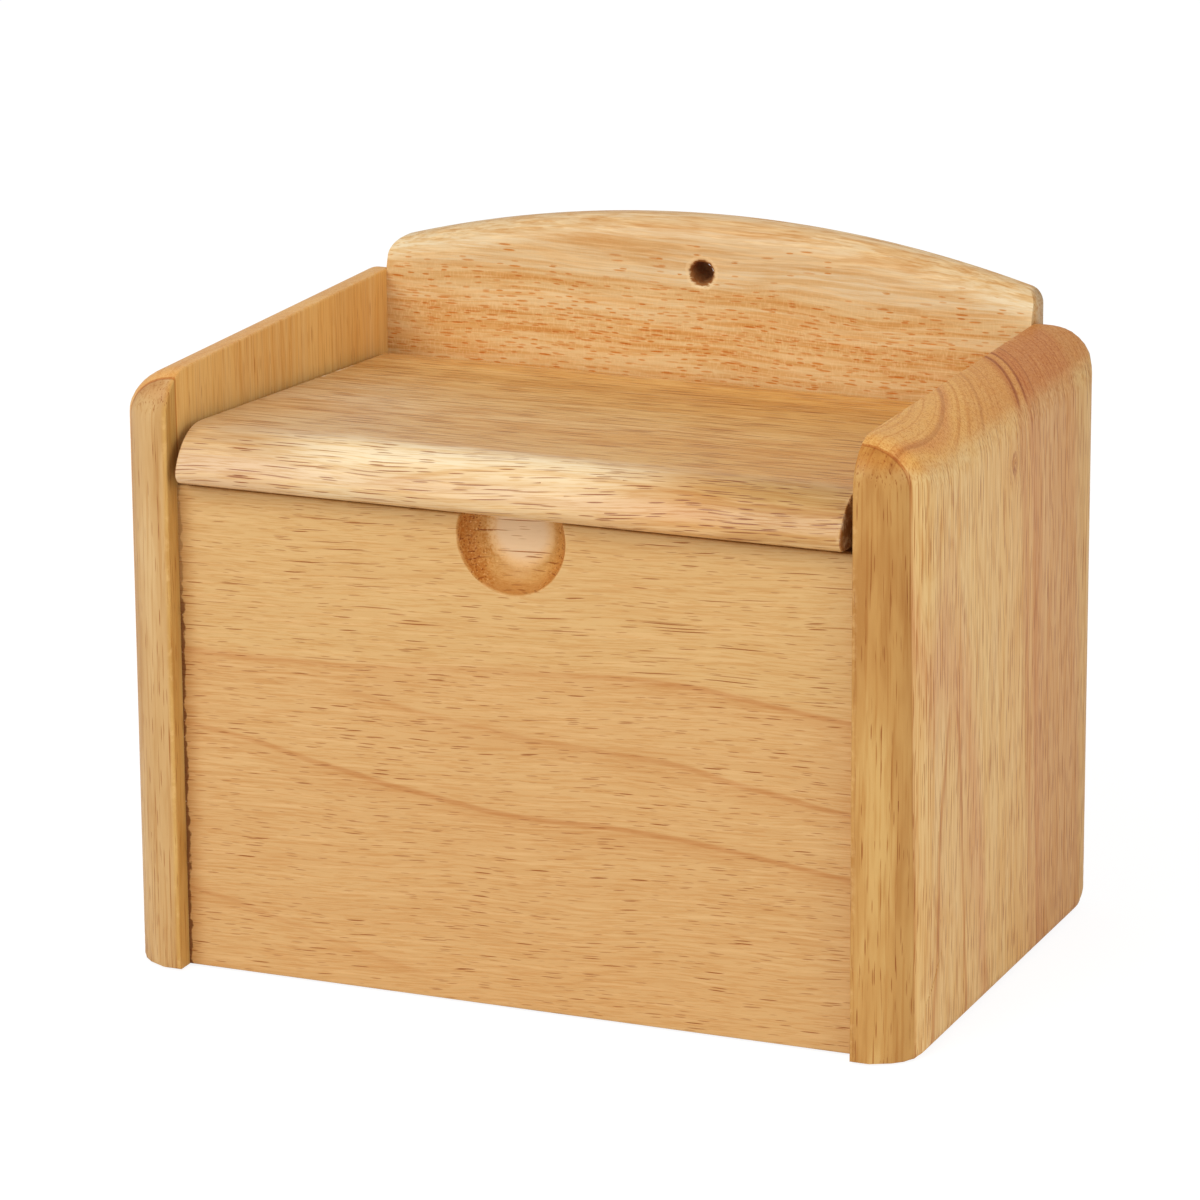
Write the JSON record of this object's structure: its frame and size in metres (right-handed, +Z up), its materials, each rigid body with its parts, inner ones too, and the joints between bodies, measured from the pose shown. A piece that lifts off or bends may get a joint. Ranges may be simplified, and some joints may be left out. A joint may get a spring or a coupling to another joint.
{
  "type": "salt box",
  "caption": "Wooden salt box with an arched back board, a hanging hole and a flat lid that turns on two hidden pins over a finger scoop.",
  "frame": {"origin": "on the ground under the middle of the closed box, lid nose included", "axes": "+Z up, +Y to the back board, +X to the right as seen from the front"},
  "size_m": [0.18, 0.1194, 0.148],
  "materials": {
    "panel_wood": "clear satin lacquer, straight open grain",
    "front_wood": "clear satin lacquer, straight open grain",
    "back_wood": "clear satin lacquer, straight open grain",
    "lid_wood": "clear satin lacquer, straight open grain",
    "plywood": "sanded plywood",
    "dowel_wood": "plain beech",
    "pin_steel": "plain drawn steel"
  },
  "bodies": {
    "box": {"side_panel_left": "panel_wood", "side_panel_right": "panel_wood", "front_board": "front_wood", "back_board": "back_wood", "bottom_board": "plywood", "hinge_pin_left": "pin_steel", "hinge_pin_right": "pin_steel", "dowel_front_left_lower": "dowel_wood", "dowel_front_left_upper": "dowel_wood", "dowel_front_right_lower": "dowel_wood", "dowel_front_right_upper": "dowel_wood", "dowel_back_left_lower": "dowel_wood", "dowel_back_left_middle": "dowel_wood", "dowel_back_left_upper": "dowel_wood", "dowel_back_right_lower": "dowel_wood", "dowel_back_right_middle": "dowel_wood", "dowel_back_right_upper": "dowel_wood"},
    "lid": {"lid": "lid_wood"}
  },
  "joints": [
    {"name": "lid_hinge", "type": "hinge", "parent": "box", "child": "lid", "pos_m": [0, 0.04455, 0.10715], "axis": [-1, 0, 0], "range_deg": [0, 87.5]}
  ]
}
